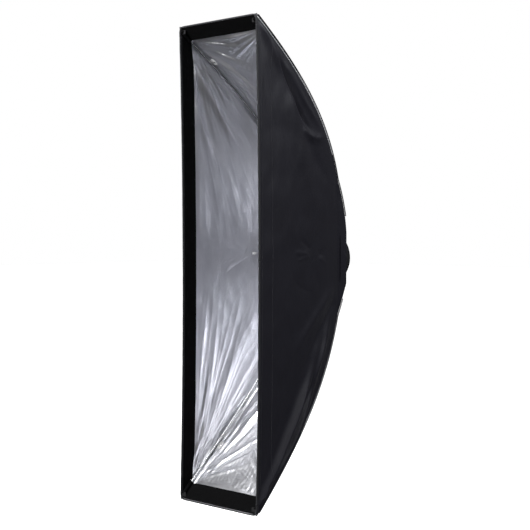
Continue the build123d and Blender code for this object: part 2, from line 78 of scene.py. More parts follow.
# Front rim, its binding and the loop tape inside it
FRONT_Y = MOUNTS["front_rim"]["pos_m"][1]
MID_Z = MOUNTS["front_rim"]["pos_m"][2]
HALF_WIDTH = 0.150
HALF_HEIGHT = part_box("hem_top")[1].z - MID_Z
EDGE_BOW = 0.013
ARC_HALF = HALF_HEIGHT + 0.020
CORNER_R = 0.018
HEM_T = 0.0055
HEM_DEPTH = 0.008
HEM_X = HALF_WIDTH + 0.0015 - HEM_T / 2
SIDE_HEM_END = 0.670
TAPE_DEPTH = 0.046
TAPE_BACK = FRONT_Y + 0.045
TAPE_SHORT = 0.004  # how far the tape stops from the seams

# Plan of the side walls, and the corner seams seen from the side: for each level the angle and
# the handle of the seam's curve at the ring, then at the rim
PLAN_DEPTH = 0.580
THROAT_HALF_WIDTH = 0.092
THROAT_Y = -0.077
SEAM_Y = -0.030
SEAM_Z = 0.080
BOWS = {1: (84.4, 0.300, 34.9, 0.200), -1: (66.1, 0.300, 42.5, 0.340)}
FIRST_T = 0.012
LAST_T = 0.996
HINGE_Y = PIVOT["fold_upper_left"][1]
HINGE_Z = PIVOT["fold_upper_left"][2]

# Plies of the cloth: how far in from the seams' curves, and how thick
INSET = {"panel": 0.0004, "lining": 0.0024, "tape": 0.0046}
THICKNESS = {"panel": 0.0008, "lining": 0.0004, "tape": 0.0012}

# Ring
RING_R = (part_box("ring_body")[1].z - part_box("ring_body")[0].z) / 2
STRAP_LOW, STRAP_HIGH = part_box("collar_strap")

# Folds of the side walls: three places, each a depth behind the rim and a share of half its
# height, then width, height outwards and sharpness
BOTH_WALLS = [((0.01, 0.98), (0.06, 0.90), (0.14, 0.76), 0.020, 0.010, 0.3)]
RIGHT_WALL = [
    ((0.08, 0.88), (0.18, 0.66), (0.28, 0.55), 0.008, -0.007, 0.3),
    ((0.12, 0.85), (0.22, 0.68), (0.34, 0.57), 0.013, 0.006, 0.3),
    ((0.22, 0.58), (0.28, 0.51), (0.38, 0.56), 0.013, 0.006, 0.3),
    ((0.15, 0.74), (0.19, 0.50), (0.30, 0.24), 0.030, 0.005, 0.0),
    ((0.20, 0.70), (0.26, 0.45), (0.40, 0.34), 0.022, -0.004, 0.0),
    ((0.18, -0.07), (0.24, -0.12), (0.29, -0.12), 0.005, -0.0010, 0.3),
    ((0.45, -0.08), (0.31, -0.19), (0.15, -0.40), 0.020, 0.006, 0.1),
    ((0.46, -0.14), (0.34, -0.25), (0.20, -0.48), 0.018, -0.005, 0.1),
    ((0.00, -1.00), (0.10, -0.80), (0.34, -0.31), 0.015, 0.019, 0.1),
    ((0.01, -0.97), (0.15, -0.76), (0.37, -0.33), 0.012, -0.015, 0.1),
    ((0.03, -0.97), (0.20, -0.72), (0.42, -0.18), 0.014, 0.019, 0.1),
]
LEFT_WALL = [
    ((0.01, 0.97), (0.11, 0.70), (0.28, 0.46), 0.012, -0.009, 0.2),
    ((0.01, 0.98), (0.14, 0.78), (0.29, 0.60), 0.011, -0.008, 0.2),
    ((0.01, 0.95), (0.05, 0.70), (0.15, 0.40), 0.013, -0.007, 0.2),
    ((0.02, 0.92), (0.09, 0.62), (0.22, 0.38), 0.016, 0.005, 0.1),
]


# -------- curves and cloth relief


def smooth(x):
    """An even step from 0 to 1."""
    x = np.clip(x, 0.0, 1.0)
    return x * x * (3 - 2 * x)


def distances(path):
    """Distance run along a line of points, at each of them."""
    return np.concatenate([[0], np.cumsum(np.linalg.norm(np.diff(path, axis=0), axis=1))])


def headings(path):
    """Unit direction of travel at each point of a line."""
    ahead = np.gradient(path, axis=0)
    return ahead / np.linalg.norm(ahead, axis=1)[:, None]


def everywhere(path, direction):
    """The same direction at each point of a line."""
    return np.tile(np.array(direction, float), (len(path), 1))


def bezier(points, t):
    """Points at t, 0 to 1, of the curve with four control points."""
    a, b, c, d = [np.asarray(p, float) for p in points]
    t = np.asarray(t, float)[..., None]
    s = 1 - t
    return a * s**3 + b * (3 * s * s * t) + c * (3 * s * t * t) + d * t**3


def seam_controls(level, inset=0.0):
    """Control points (y, z) of a corner seam from the ring to the rim, moved inwards by inset."""
    rear_angle, rear_handle, front_angle, front_handle = BOWS[level]
    rear, front = math.radians(rear_angle), math.radians(front_angle)
    rear_y = SEAM_Y - inset * math.sin(rear)
    rear_z = SEAM_Z - inset * math.cos(rear)
    front_y = FRONT_Y - inset * math.sin(front)
    front_z = HALF_HEIGHT + level * MID_Z - inset * math.cos(front)
    return [
        (rear_y, level * rear_z),
        (rear_y - rear_handle * math.cos(rear), level * (rear_z + rear_handle * math.sin(rear))),
        (front_y + front_handle * math.cos(front), level * (front_z - front_handle * math.sin(front))),
        (front_y, level * front_z),
    ]


def seam(level, t, inset=0.0):
    """Points (y, z) of a corner seam at t, from 0 at the ring to 1 at the rim."""
    return bezier(seam_controls(level, inset), t)


def out_of_seam(line, level):
    """Direction out of the top or bottom panel at each point (y, z) of a corner seam."""
    ahead = headings(line)
    return np.stack([np.zeros(len(line)), level * ahead[:, 1], -level * ahead[:, 0]], axis=1)


SEAM_T = np.linspace(0, 1, 121)
SEAM_LINE = {level: seam(level, SEAM_T) for level in LEVEL_NAME}
TAPE_END = {
    level: 1 - float(np.interp(TAPE_BACK, line[::-1, 0], SEAM_T))
    for level, line in SEAM_LINE.items()
}


def half_width(y):
    """Half the width between the side walls' outer faces."""
    inside = 1 - ((np.minimum(y, THROAT_Y) - FRONT_Y) / PLAN_DEPTH) ** 2
    return np.where(y > THROAT_Y, THROAT_HALF_WIDTH, HALF_WIDTH * np.sqrt(inside))


def by_wall(side, line, outside):
    """The points of a line (y, z) at a distance outside a side wall's plain curve."""
    return np.stack([side * (half_width(line[:, 0]) + outside), line[:, 0], line[:, 1]], axis=1)


def rim_y(z):
    """Front edge of the cloth: a shallow arc."""
    return FRONT_Y + EDGE_BOW * (1 - ((z - MID_Z) / ARC_HALF) ** 2)


def to_path(points, path):
    """Distance of each point to a line of straight steps, and how far along it, 0 to 1."""
    best = np.full(len(points), 1e9)
    share = np.zeros(len(points))
    steps = len(path) - 1
    for i in range(steps):
        a, b = path[i], path[i + 1]
        run = b - a
        k = np.clip(((points - a) @ run) / max(run @ run, 1e-12), 0, 1)
        gap = np.linalg.norm(points - a - k[:, None] * run, axis=1)
        nearer = gap < best
        best[nearer] = gap[nearer]
        share[nearer] = (i + k[nearer]) / steps
    return best, share


def crease(start, middle, end, width, height, sharp):
    """One fold of the cloth along a bent line through three points of its chart."""
    t = np.linspace(0, 1, 17)[:, None]
    a, b, c = [np.asarray(p, float) for p in (start, middle, end)]
    path = a * (1 - t) ** 2 + b * (2 * t * (1 - t)) + c * t**2
    return path, width, height, sharp


def fan(origin, angles, count, reach, width, height, seed, sharp=0.5):
    """Folds that spread from a corner between two angles, in degrees on the chart."""
    draw = np.random.default_rng(seed)
    made = []
    for i in range(count):
        angle = math.radians(angles[0] + (angles[1] - angles[0]) * (i + draw.uniform(0.1, 0.9)) / count)
        ahead = np.array([math.cos(angle), math.sin(angle)])
        across = np.array([-ahead[1], ahead[0]])
        first = draw.uniform(0.03, 0.30) * reach
        last = first + draw.uniform(0.35, 0.75) * reach
        bend = draw.uniform(-0.06, 0.06) * reach
        sign = 1 if draw.uniform() < 0.6 else -1
        start = origin + ahead * first
        middle = origin + ahead * (first + last) / 2 + across * bend
        end = origin + ahead * last
        fold_width = width * draw.uniform(0.6, 1.5)
        fold_height = sign * height * draw.uniform(0.35, 1.0)
        made.append(crease(start, middle, end, fold_width, fold_height, sharp))
    return made


def relief(points, creases):
    """Height of the folds at each point of a chart."""
    total = np.zeros(len(points))
    for path, width, height, sharp in creases:
        gap, share = to_path(points, path)
        soft = np.exp(-((gap / width) ** 2))
        crisp = np.exp(-gap / (0.6 * width))
        taper = smooth(share / 0.18) * smooth((1 - share) / 0.35)
        total += height * taper * ((1 - sharp) * soft + sharp * crisp)
    return total


def ripple(points, scale, seed):
    """Smooth seeded noise from -1 to 1, with features about one scale wide."""
    draw = np.random.default_rng(seed)
    turn = draw.uniform(0, 2 * math.pi, (64, 64))
    grid_x, grid_y = np.cos(turn), np.sin(turn)
    p = points / scale + 1000.0
    cell = np.floor(p).astype(int)
    f = p - cell
    blend = f * f * f * (f * (6 * f - 15) + 10)
    total = np.zeros(len(points))
    for dx in (0, 1):
        for dy in (0, 1):
            i, j = (cell[:, 0] + dx) % 64, (cell[:, 1] + dy) % 64
            slope = grid_x[i, j] * (f[:, 0] - dx) + grid_y[i, j] * (f[:, 1] - dy)
            wx = blend[:, 0] if dx else 1 - blend[:, 0]
            wy = blend[:, 1] if dy else 1 - blend[:, 1]
            total += wx * wy * slope
    return total * 1.5


def ridges(points, scale, seed, power):
    """Seeded noise as thin ridges, from 0 to 1."""
    return (1 - np.abs(ripple(points, scale, seed))) ** power


def rim_place(depth, height):
    """A wall chart's point (y, z) from depth behind the rim and height as a share of half the rim."""
    return np.array([FRONT_Y + depth, MID_Z + height * HALF_HEIGHT])


def wall_creases(side):
    """The side wall's folds: drawn in from the rim's corners and towards the hook, soft in the middle."""
    rows = BOTH_WALLS + (LEFT_WALL if side < 0 else RIGHT_WALL)
    made = [crease(*[rim_place(*place) for place in row[:3]], *row[3:]) for row in rows]
    upper, lower, hook = rim_place(0.0, 0.99), rim_place(0.0, -0.99), rim_place(0.30, 0.04)
    count, height = (16, 0.0028) if side < 0 else (7, 0.0012)
    made += fan(upper, (-40, -84), count, reach=0.52, width=0.009, height=height, seed=11 + side)
    made += fan(lower, (47, 84), count, reach=0.50, width=0.009, height=height, seed=21 + side)
    made += fan(hook, (150, 215), 4, reach=0.16, width=0.007, height=0.0022, seed=31 + side)
    made += fan(hook, (-40, 30), 3, reach=0.12, width=0.007, height=0.0018, seed=41 + side)
    return made


WALL_CREASES = {side: wall_creases(side) for side in SIDE_NAME}


def wall_relief(side, y, z):
    """How far a side wall's cloth stands out from its plain curve at (y, z)."""
    chart = np.stack([y.ravel(), z.ravel()], axis=1)
    height = relief(chart, WALL_CREASES[side])
    height += (0.0010 if side < 0 else 0.0022) * ripple(chart, 0.11, 5 + side)
    height += 0.0009 * ripple(chart * (1.0, 0.6), 0.035, 7 + side)
    to_seam = np.minimum(to_path(chart, SEAM_LINE[1])[0], to_path(chart, SEAM_LINE[-1])[0])
    behind_rim = chart[:, 0] - rim_y(chart[:, 1])
    from_ring = np.hypot(chart[:, 0] - SEAM_Y, chart[:, 1])
    taut = TAPE_DEPTH - 0.004 if side < 0 else 0.0
    height *= smooth(to_seam / 0.022) * smooth((behind_rim - taut) / 0.035)
    height *= smooth((from_ring - 0.10) / 0.08)
    return height.reshape(y.shape)


def streaks(chart, corners, shares, seed):
    """Folds of the metallised cloth fanning out from its pulled corners; always inwards."""
    total = np.zeros(len(chart))
    for i, (corner, share) in enumerate(zip(corners, shares)):
        offset = chart - corner
        gap = np.linalg.norm(offset, axis=1)
        angle = np.arctan2(offset[:, 1], offset[:, 0])
        broad = ripple(np.stack([angle / 0.13, gap / 0.40], axis=1), 1.0, seed + i)
        narrow = ridges(np.stack([angle / 0.05, gap / 0.25], axis=1), 1.0, seed + i + 3, 3)
        tall = np.minimum(0.070 * gap, 0.0080) * np.clip(broad + 0.15, 0, 1) ** 1.2
        fine = np.minimum(0.032 * gap, 0.0020) * narrow
        total += share * (tall * np.exp(-((gap / 0.42) ** 2)) + fine * np.exp(-((gap / 0.40) ** 2)))
    return total + 0.00008 * ridges(chart * (1.0, 0.35), 0.030, seed + 9, 4)


# -------- meshes


def new_object(name, points, faces, material):
    """An object with a smooth-shaded mesh and one material."""
    mesh = bpy.data.meshes.new(name)
    mesh.from_pydata(np.reshape(points, (-1, 3)).tolist(), [], faces)
    mesh.materials.append(material)
    mesh.polygons.foreach_set("use_smooth", np.ones(len(mesh.polygons), bool))
    piece = bpy.data.objects.new(name, mesh)
    bpy.context.scene.collection.objects.link(piece)
    return piece


def lay_chart(mesh, chart):
    """Writes a chart in metres, one place for each vertex, as the mesh's UV."""
    used = np.empty(len(mesh.loops), int)
    mesh.loops.foreach_get("vertex_index", used)
    layer = mesh.uv_layers.new(name="cloth")
    layer.data.foreach_set("uv", chart.reshape(-1, 2)[used].astype(np.float32).ravel())


def sharpen_border(mesh):
    """Keeps a sheet's cut edge from rounding the shading of its faces."""
    used = np.empty(len(mesh.loops), int)
    mesh.loops.foreach_get("edge_index", used)
    border = np.bincount(used, minlength=len(mesh.edges)) == 1
    mesh.attributes.new("sharp_edge", "BOOLEAN", "EDGE").data.foreach_set("value", border)


def cloth_piece(name, points, chart, material, thickness):
    """A sheet from rows of points, with the chart in metres as its UV, and a real thickness."""
    rows, columns = points.shape[:2]
    index = np.arange(rows * columns).reshape(rows, columns)
    corners = [index[:-1, :-1], index[1:, :-1], index[1:, 1:], index[:-1, 1:]]
    quads = np.stack(corners, axis=-1).reshape(-1, 4)
    piece = new_object(name, points, quads.tolist(), material)
    lay_chart(piece.data, chart)
    sharpen_border(piece.data)
    solid = piece.modifiers.new("thickness", "SOLIDIFY")
    solid.thickness = thickness
    solid.offset = 0.0
    return piece


def ring_faces(first, rings, count):
    """Faces of a closed tube: quads between rings of count points, and one face over each end."""
    faces = []
    for ring in range(rings - 1):
        for k in range(count):
            a, b = first + ring * count + k, first + ring * count + (k + 1) % count
            faces.append((a, b, b + count, a + count))
    faces.append(tuple(first + k for k in range(count - 1, -1, -1)))
    faces.append(tuple(first + (rings - 1) * count + k for k in range(count)))
    return faces


def rounded(half_a, half_b, power, count=16):
    """Closed rounded-rectangle section."""
    turn = np.linspace(0, 2 * math.pi, count, endpoint=False)
    c, s = np.cos(turn), np.sin(turn)
    a = np.sign(c) * np.abs(c) ** (2 / power) * half_a
    b = np.sign(s) * np.abs(s) ** (2 / power) * half_b
    return np.stack([a, b], axis=1)


def swept(name, path, out, up, section, material):
    """A tube: section (a, b) carried along path, a along out and b along up at each point."""
    a, b = section[None, :, 0:1], section[None, :, 1:2]
    rows = path[:, None, :] + out[:, None, :] * a + up[:, None, :] * b
    rings, sides = rows.shape[:2]
    piece = new_object(name, rows, ring_faces(0, rings, sides), material)
    around = np.linspace(0, 6 * np.abs(section).max(), sides)
    chart = np.broadcast_arrays(around[None, :], distances(path)[:, None])
    lay_chart(piece.data, np.stack(chart, axis=-1))
    return piece


def turned(name, centre, axis, side, profile, material):
    """A turned part: profile (radius, height) round an axis."""
    other = np.cross(axis, side)
    count = 32
    points = []
    for radius, height in profile:
        for k in np.linspace(0, 2 * math.pi, count, endpoint=False):
            points.append(centre + axis * height + radius * (side * math.cos(k) + other * math.sin(k)))
    return new_object(name, points, ring_faces(0, len(profile), count), material)


def at_length(values, lengths, length):
    """Value between the points of a line, at a distance run along it."""
    return np.array([np.interp(length, lengths, values[:, k]) for k in range(3)])


# One stitch: share of its length, share of its radius
STITCH = [(0.0, 0.35), (0.12, 0.85), (0.5, 1.0), (0.88, 0.85), (1.0, 0.35)]


def stitches(name, path, out, material, long=0.006, gap=0.0035, radius=0.0007):
    """A row of separate thread stitches laid on a path."""
    lengths = distances(path)
    points, faces = [], []
    start = gap
    while start + long < lengths[-1]:
        faces += ring_faces(len(points), len(STITCH), 6)
        ahead = at_length(path, lengths, start + long) - at_length(path, lengths, start)
        ahead /= np.linalg.norm(ahead)
        up = at_length(out, lengths, start + long / 2)
        side = np.cross(ahead, up)
        for share, size in STITCH:
            centre = at_length(path, lengths, start + share * long)
            centre += up * radius * 0.5 * math.sin(math.pi * share)
            for k in range(6):
                turn = k * math.pi / 3
                points.append(centre + radius * size * (side * math.cos(turn) + up * math.sin(turn)))
        start += long + gap
    return new_object(name, points, faces, material)


# -------- materials


def add(tree, kind, values=None, **settings):
    """A shader node with its settings and its inputs, each a number, a colour or another node's output."""
    made = tree.nodes.new(kind)
    for key, value in settings.items():
        setattr(made, key, value)
    for key, value in (values or {}).items():
        if isinstance(value, bpy.types.NodeSocket):
            tree.links.new(value, made.inputs[key])
        else:
            made.inputs[key].default_value = value
    return made


def start_material(name, **fixed):
    """A new material, its node tree and its shader, with the fixed values on the shader's own sockets."""
    material = bpy.data.materials.new(name)
    material.use_nodes = True
    tree = material.node_tree
    shader = tree.nodes["Principled BSDF"]
    for key, value in fixed.items():
        shader.inputs[key.replace("_", " ")].default_value = value
    return material, tree, shader


def chart_of(tree, scale=(1.0, 1.0, 1.0)):
    """The cloth's chart, in metres."""
    uv = add(tree, "ShaderNodeUVMap", uv_map="cloth")
    return add(tree, "ShaderNodeMapping", {"Vector": uv.outputs["UV"], "Scale": scale}).outputs["Vector"]


def place_of(tree):
    """The place on the piece, in metres."""
    return add(tree, "ShaderNodeTexCoord").outputs["Object"]


def noise(tree, vector, size, detail=4.0, roughness=0.6):
    """Noise with features about size metres across."""
    values = {"Vector": vector, "Scale": 1 / size, "Detail": detail, "Roughness": roughness}
    return add(tree, "ShaderNodeTexNoise", values).outputs["Fac"]


def ribs(tree, vector, direction, period, distortion):
    """Parallel ribs, one for each period in metres."""
    values = {"Vector": vector, "Scale": 2 * math.pi / (20 * period), "Distortion": distortion}
    return add(tree, "ShaderNodeTexWave", values, bands_direction=direction).outputs["Fac"]


def combined(tree, operation, a, b):
    """Two values put together by a math node."""
    return add(tree, "ShaderNodeMath", {0: a, 1: b}, operation=operation).outputs["Value"]


def weave_height(tree, vector, period):
    """Height of a plain weave: the higher of its two sets of threads."""
    over = ribs(tree, vector, "X", period, 0.3)
    under = ribs(tree, vector, "Y", period, 0.3)
    return combined(tree, "MAXIMUM", over, under)


def remap(tree, value, low, high):
    values = {"Value": value, "To Min": low, "To Max": high}
    return add(tree, "ShaderNodeMapRange", values).outputs["Result"]


def coloured(tree, shader, share, dark, light):
    """Colours the shader between dark and light by share."""
    values = {0: share, 6: (*dark, 1), 7: (*light, 1)}
    made = add(tree, "ShaderNodeMix", values, data_type="RGBA")
    tree.links.new(made.outputs[2], shader.inputs["Base Color"])


def roughened(tree, shader, share, low, high):
    """Sets the shader's roughness from low to high by share."""
    tree.links.new(remap(tree, share, low, high), shader.inputs["Roughness"])


def bumped(tree, shader, *layers):
    """Stacks bump layers (height, strength, distance in metres) onto the shader."""
    normal = None
    for height, strength, distance in layers:
        values = {"Height": height, "Strength": strength, "Distance": distance}
        if normal is not None:
            values["Normal"] = normal
        normal = add(tree, "ShaderNodeBump", values).outputs["Normal"]
    tree.links.new(normal, shader.inputs["Normal"])


def nylon_material():
    """Satin black nylon: plain weave, slubs across it, faint sheen and rubbed patches."""
    material, tree, shader = start_material(
        "black_nylon", Specular_IOR_Level=0.30, Sheen_Weight=0.05, Sheen_Roughness=0.35
    )
    chart = chart_of(tree)
    slub = noise(tree, chart_of(tree, (0.15, 1.0, 1.0)), 0.004, 3.0)
    lengthways = noise(tree, chart_of(tree, (1.0, 0.12, 1.0)), 0.012, 2.0)
    crossways = noise(tree, chart_of(tree, (0.12, 1.0, 1.0)), 0.012, 2.0)
    patches = noise(tree, chart, 0.09, 3.0)
    coloured(tree, shader, patches, (0.0070, 0.0066, 0.0112), (0.0120, 0.0114, 0.0178))
    roughened(tree, shader, slub, 0.42, 0.58)
    weave = weave_height(tree, chart, 0.0012)
    grain = [(weave, 0.25, 0.0002), (slub, 0.35, 0.0003)]
    bumped(tree, shader, *grain, (lengthways, 0.30, 0.0008), (crossways, 0.30, 0.0006))
    return material


def lining_material():
    """Metallised silver cloth: fine weave under a crinkled mirror-like coat."""
    material, tree, shader = start_material("silver_lining", Metallic=1.0)
    chart = chart_of(tree)
    values = {"Vector": chart_of(tree, (1.0, 0.45, 1.0)), "Scale": 1 / 0.020, "Randomness": 1.0}
    cells = add(tree, "ShaderNodeTexVoronoi", values, feature="DISTANCE_TO_EDGE")
    facets = remap(tree, cells.outputs["Distance"], 0.0, 1.0)
    cloudy = noise(tree, chart, 0.05, 4.0)
    coloured(tree, shader, cloudy, (0.66, 0.665, 0.70), (0.80, 0.805, 0.84))
    roughened(tree, shader, noise(tree, chart, 0.012, 3.0), 0.26, 0.44)
    crumple = noise(tree, chart, 0.030, 2.0, 0.5)
    weave = weave_height(tree, chart, 0.0011)
    bumped(tree, shader, (crumple, 0.22, 0.0010), (facets, 0.20, 0.0008), (weave, 0.12, 0.0001))
    return material


def tape_material():
    """Matt black loop pile."""
    material, tree, shader = start_material(
        "loop_tape", Specular_IOR_Level=0.03, Sheen_Weight=0.01, Sheen_Roughness=0.6
    )
    chart = chart_of(tree)
    pile = noise(tree, chart, 0.0012, 5.0, 0.8)
    coloured(tree, shader, pile, (0.0010, 0.0010, 0.0012), (0.004, 0.004, 0.0044))
    roughened(tree, shader, pile, 0.85, 1.0)
    bumped(tree, shader, (pile, 0.8, 0.0008), (noise(tree, chart, 0.03, 2.0), 0.3, 0.002))
    return material


def ribbon_material(name, dark, light, period, roughness, metallic):
    """Woven ribbon: ribs across its length, a finer weave and rubbed ridges."""
    material, tree, shader = start_material(
        name, Metallic=metallic, Specular_IOR_Level=0.25, Sheen_Weight=0.1, Sheen_Roughness=0.4
    )
    chart = chart_of(tree)
    rib = ribs(tree, chart, "Y", period, 0.4)
    worn = noise(tree, chart, 0.006, 4.0)
    coloured(tree, shader, combined(tree, "MULTIPLY", rib, worn), dark, light)
    roughened(tree, shader, worn, roughness - 0.1, roughness + 0.1)
    bumped(tree, shader, (rib, 0.5, 0.0004), (weave_height(tree, chart, period / 2), 0.3, 0.0002))
    return material


def thread_material(name, colour):
    """Twisted sewing thread."""
    material, tree, shader = start_material(name, Specular_IOR_Level=0.3, Sheen_Weight=0.2)
    twist = noise(tree, place_of(tree), 0.0008, 2.0)
    coloured(tree, shader, twist, [c * 0.7 for c in colour], colour)
    roughened(tree, shader, twist, 0.5, 0.7)
    bumped(tree, shader, (twist, 0.5, 0.0003))
    return material


def metal_material(name, dark, light, roughness, grain, drawn):
    """Metal with a grain drawn out along one direction, light scratches and handled patches."""
    material, tree, shader = start_material(name, Metallic=1.0)
    place = add(tree, "ShaderNodeMapping", {"Vector": place_of(tree), "Scale": drawn}).outputs["Vector"]
    brushed = noise(tree, place, grain, 5.0, 0.7)
    handled = noise(tree, place_of(tree), 0.025, 4.0)
    coloured(tree, shader, handled, dark, light)
    scratched = remap(tree, brushed, 0.8, 1.25)
    dulled = remap(tree, handled, roughness * 0.8, roughness * 1.25)
    tree.links.new(combined(tree, "MULTIPLY", scratched, dulled), shader.inputs["Roughness"])
    bumped(tree, shader, (brushed, 0.25, 0.0001), (handled, 0.1, 0.0005))
    return material


def plastic_material(name, dark, light, roughness):
    """Moulded plastic with a fine spark-eroded grain and worn patches."""
    material, tree, shader = start_material(name, Specular_IOR_Level=0.45)
    place = place_of(tree)
    grain = noise(tree, place, 0.0009, 3.0, 0.7)
    worn = noise(tree, place, 0.012, 4.0)
    coloured(tree, shader, worn, dark, light)
    roughened(tree, shader, worn, roughness + 0.08, roughness - 0.08)
    bumped(tree, shader, (grain, 0.35, 0.0002))
    return material


# Dark and light colour of each, then: rib period, roughness and how metallic a ribbon is
RIBBONS = {
    "hem_binding": ((0.006, 0.006, 0.008), (0.030, 0.031, 0.036), 0.0016, 0.50, 0.0),
    "silver_piping": ((0.55, 0.56, 0.58), (0.85, 0.86, 0.88), 0.0012, 0.45, 0.2),
    "webbing": ((0.50, 0.50, 0.51), (0.80, 0.80, 0.81), 0.0014, 0.60, 0.0),
    "strap": ((0.003, 0.003, 0.004), (0.010, 0.010, 0.011), 0.0015, 0.65, 0.0),
}
# roughness, grain size and how the grain is drawn out in a metal
METALS = {
    "black_aluminium": ((0.018, 0.018, 0.020), (0.040, 0.040, 0.043), 0.38, 0.0006, (1, 1, 1)),
    "plain_aluminium": ((0.60, 0.61, 0.62), (0.74, 0.74, 0.75), 0.30, 0.0012, (1, 1, 0.08)),
    "steel": ((0.42, 0.42, 0.42), (0.58, 0.58, 0.57), 0.28, 0.0008, (1, 1, 1)),
    "spring_steel": ((0.40, 0.41, 0.42), (0.60, 0.61, 0.62), 0.22, 0.0010, (1, 1, 0.05)),
}
# and a plastic's roughness
PLASTICS = {
    "black_plastic": ((0.010, 0.010, 0.011), (0.022, 0.022, 0.024), 0.45),
    "red_plastic": ((0.22, 0.012, 0.010), (0.32, 0.025, 0.020), 0.40),
    "brake_pad": ((0.012, 0.011, 0.010), (0.030, 0.028, 0.026), 0.80),
}


def all_materials():
    """The material of each slot, by the slot's name."""
    made = {
        "black_nylon": nylon_material(),
        "silver_lining": lining_material(),
        "loop_tape": tape_material(),
    }
    families = ((RIBBONS, ribbon_material), (METALS, metal_material), (PLASTICS, plastic_material))
    for looks, make in families:
        for name, look in looks.items():
            made[name] = make(name, *look)
    return made


MATERIALS = all_materials()
BLACK_THREAD = thread_material("black_thread", (0.050, 0.050, 0.058))
WHITE_THREAD = thread_material("white_thread", (0.80, 0.80, 0.80))


def finish_frame_nodes():
    """Gives each node that stays its slot's material."""
    for name, node in frame["nodes"].items():
        for material_slot in node.material_slots:
            material_slot.material = MATERIALS[SLOT_OF[name]]


# -------- how pieces stand in the frame


def half_name(side, level):
    """Name of half a side wall."""
    return f"{SIDE_NAME[side]}_{LEVEL_NAME[level]}"


def rod_body(side, level):
    """Name of a rod's body."""
    return f"rod_{LEVEL_NAME[level]}_{SIDE_NAME[side]}"


def stand_for(node):
    """Hides the node that the piece stands in for."""
    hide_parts(node)


def carried(y, z, level):
    """Radius from the rods' hinge line, angle above the forward direction, and the rods' hold by radius."""
    forward = HINGE_Y - y
    rise = level * z - HINGE_Z
    radius = np.hypot(forward, rise)
    return radius, np.arctan2(rise, forward), smooth((radius - 0.055) / 0.10)


SEAM_POLAR = {level: carried(line[:, 0], line[:, 1], level) for level, line in SEAM_LINE.items()}


def fold_with_rods(piece, level, end_panel=False):
    """Cloth between the ring and a rod: bakes its transform and works out how much the rod holds each point,
    without moving any of it.
    """
    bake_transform(piece)
    place = np.empty(len(piece.data.vertices) * 3, np.float32)
    piece.data.vertices.foreach_get("co", place)
    place = place.reshape(-1, 3)
    radius, angle, hold = carried(place[:, 1], place[:, 2], level)
    if not end_panel:
        seam_angle = np.interp(radius, SEAM_POLAR[level][0], SEAM_POLAR[level][1])
        hold = hold * np.clip(angle / seam_angle, 0, 1)


def declare_stretched(cut):
    """Rounds the size of the rectangle a cloth sheet is cut from; the result is not kept."""
    cut = tuple(round(float(length), 3) for length in cut)


# -------- side walls


def wall_grid(level, rows, columns):
    """Points (y, z) of half a side wall, from the middle to one corner seam."""
    t = np.linspace(0, 1, rows)[:, None]
    v = np.linspace(0, 1, columns)[None, :]
    edge = seam(level, t[:, 0])
    other = seam(-level, t[:, 0])
    middle_y = (edge[:, 0:1] + other[:, 0:1]) / 2
    y = middle_y + (edge[:, 0:1] - middle_y) * v**2
    z = edge[:, 1:2] * v
    to_arc = rim_y(z) - FRONT_Y + HEM_DEPTH / 2
    return y + to_arc * smooth((t - 0.55) / 0.45) * (1 - v**8 * 0.5), z


def wall_ply(name, ply, side, level, y, z, inwards=0.0):
    """A ply of half a side wall at (y, z): it shares the wall's folds and has its own inwards."""
    node = f"side_{ply}_{SIDE_NAME[side]}"
    plain = np.stack([side * (half_width(y) - INSET[ply]), y, z], axis=-1)
    points = plain.copy()
    points[..., 0] += side * (wall_relief(side, y, z) - inwards)
    chart = np.stack([y - FRONT_Y, z], axis=-1)
    name = f"wall_{name}_{half_name(side, level)}"
    piece = cloth_piece(name, points, chart, MATERIALS[SLOT_OF[node]], THICKNESS[ply])
    stand_for(node)
    fold_with_rods(piece, level)
    declare_stretched((np.ptp(y), np.ptp(z)))


def wall_shell(side, level):
    """Outer nylon of half a side wall."""
    y, z = wall_grid(level, rows=130, columns=150)
    wall_ply("shell", "panel", side, level, y, z)


def wall_lining(side, level):
    """Silver lining of half a side wall: follows the nylon, with its own crinkles behind the tape."""
    y, z = wall_grid(level, rows=170, columns=210)
    chart = np.stack([y.ravel(), z.ravel()], axis=1)
    corners = [seam(end, TAPE_END[end]) for end in LEVEL_NAME]
    crinkles = streaks(chart, corners, (0.9, 1.3), 60 + side).reshape(y.shape)
    behind_tape = y - rim_y(z) - TAPE_DEPTH - HEM_DEPTH * 0.7
    crinkles *= smooth((behind_tape + 0.002) / 0.012)
    wall_ply("lining", "lining", side, level, y, z, crinkles)


def wall_tape(side, level):
    """Loop tape inside the rim of half a side wall; it narrows towards the corner."""
    line = SEAM_LINE[level][::-1]
    b = np.linspace(0, 1, 26)[:, None]
    v = np.linspace(0, 1, 150)[None, :]
    top = abs(np.interp(FRONT_Y + b * TAPE_DEPTH, line[:, 0], line[:, 1]))
    z = level * (top - TAPE_SHORT) * v
    near_end = smooth((np.abs(z) - 0.56) / 0.08)
    y = rim_y(z) + HEM_DEPTH * 0.7 + b * (TAPE_DEPTH - 0.0065 * near_end)
    limit = np.interp(y, line[:, 0], np.abs(line[:, 1])) - TAPE_SHORT
    z = level * np.minimum(np.abs(z), limit)
    waves = 0.0006 * ripple(np.stack([y.ravel(), z.ravel()], axis=1), 0.05, 90 + side)
    wall_ply("tape", "tape", side, level, y, z, np.abs(waves).reshape(y.shape))


# -------- top and bottom panels


def panel_creases(level):
    """Folds of a top or bottom panel on its chart (x, distance behind the rim)."""
    made = []
    for side in SIDE_NAME:
        corner = np.array([side * (HALF_WIDTH - 0.01), 0.0])
        angles = (92, 112) if side > 0 else (88, 68)
        made += fan(corner, angles, 9, 0.55, 0.007, 0.0030, 50 + side + 3 * level, 0.6)
        made += fan(corner, angles, 5, 0.85, 0.010, 0.0030, 70 + side + 3 * level, 0.4)
    return made


